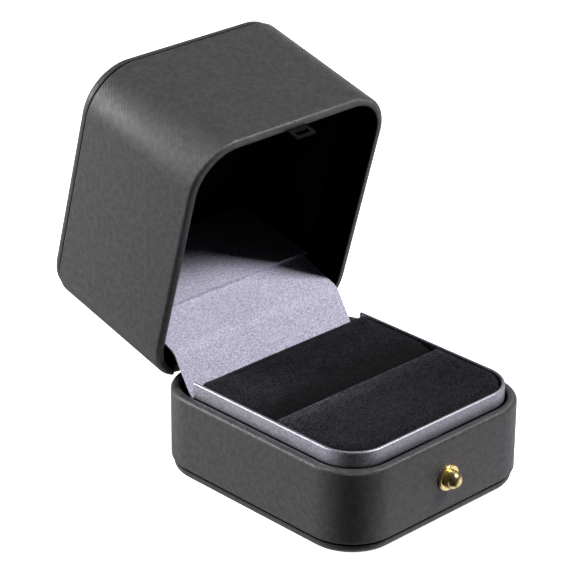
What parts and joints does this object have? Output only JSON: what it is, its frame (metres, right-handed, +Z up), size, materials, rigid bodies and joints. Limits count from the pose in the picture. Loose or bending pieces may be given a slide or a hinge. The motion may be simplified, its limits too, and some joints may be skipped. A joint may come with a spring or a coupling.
{
  "type": "ring box",
  "caption": "Push-button ring box: leatherette-wrapped base and sprung lid, satin collar round a split velvet ring insert, lid standing open on its hinge.",
  "frame": {"origin": "centre of the flat underside that the box stands on", "axes": "+Z up, +Y from the button on the front face to the hinge in the back face, +X along the hinge pin to the box's right"},
  "size_m": [0.06, 0.1051, 0.091],
  "materials": {
    "leatherette": "fine embossed grain, low sheen",
    "moulded_frame": "moulded, matte",
    "greyboard": "pressed grey board",
    "card": "white-lined card",
    "satin": "silver-grey satin, soft sheen",
    "velvet": "short-pile velvet",
    "lining_cloth": "short-pile velvet on card",
    "gilt_brass": "polished and gilded",
    "bright_steel": "zinc plated",
    "black_steel": "blackened",
    "spring_steel": "bright drawn wire"
  },
  "bodies": {
    "base": {"bottom_board": "greyboard", "bottom_leatherette": "leatherette", "base_frame": "moulded_frame", "base_leatherette": "leatherette", "insert_tray": "greyboard", "collar_board": "card", "collar_satin": "satin", "front_velvet_roll": "velvet", "rear_velvet_roll": "velvet", "button_bezel": "gilt_brass", "bezel_nut": "bright_steel", "button_spring": "spring_steel", "hinge_base_leaf": "bright_steel", "hinge_base_rivets": "bright_steel", "hinge_pin": "bright_steel", "hinge_spring": "spring_steel"},
    "lid": {"hinge_lid_leaf": "bright_steel", "hinge_lid_rivets": "bright_steel", "lid_frame": "moulded_frame", "lid_leatherette": "leatherette", "lid_top_board": "greyboard", "lid_top_leatherette": "leatherette", "lid_lining": "lining_cloth", "lid_ceiling_pad": "lining_cloth", "lid_back_panel": "satin", "hinge_flap": "satin", "lid_strike": "black_steel", "strike_rivets": "black_steel"},
    "button": {"push_button": "gilt_brass", "catch_plate": "bright_steel", "stem_clip": "spring_steel"}
  },
  "joints": [
    {"name": "lid_hinge", "type": "hinge", "parent": "base", "child": "lid", "pos_m": [0, 0.031, 0.02], "axis": [1, 0, 0], "range_deg": [0, 74.5], "stiffness_Nm_per_rad": 0.015, "springref_deg": -17.19, "deforming": ["hinge_spring", "hinge_flap"]},
    {"name": "button_press", "type": "slide", "parent": "base", "child": "button", "axis": [0, 1, 0], "range_m": [0, 0.0012], "stiffness_N_per_m": 300, "springref_m": -0.001, "deforming": ["button_spring"]}
  ]
}
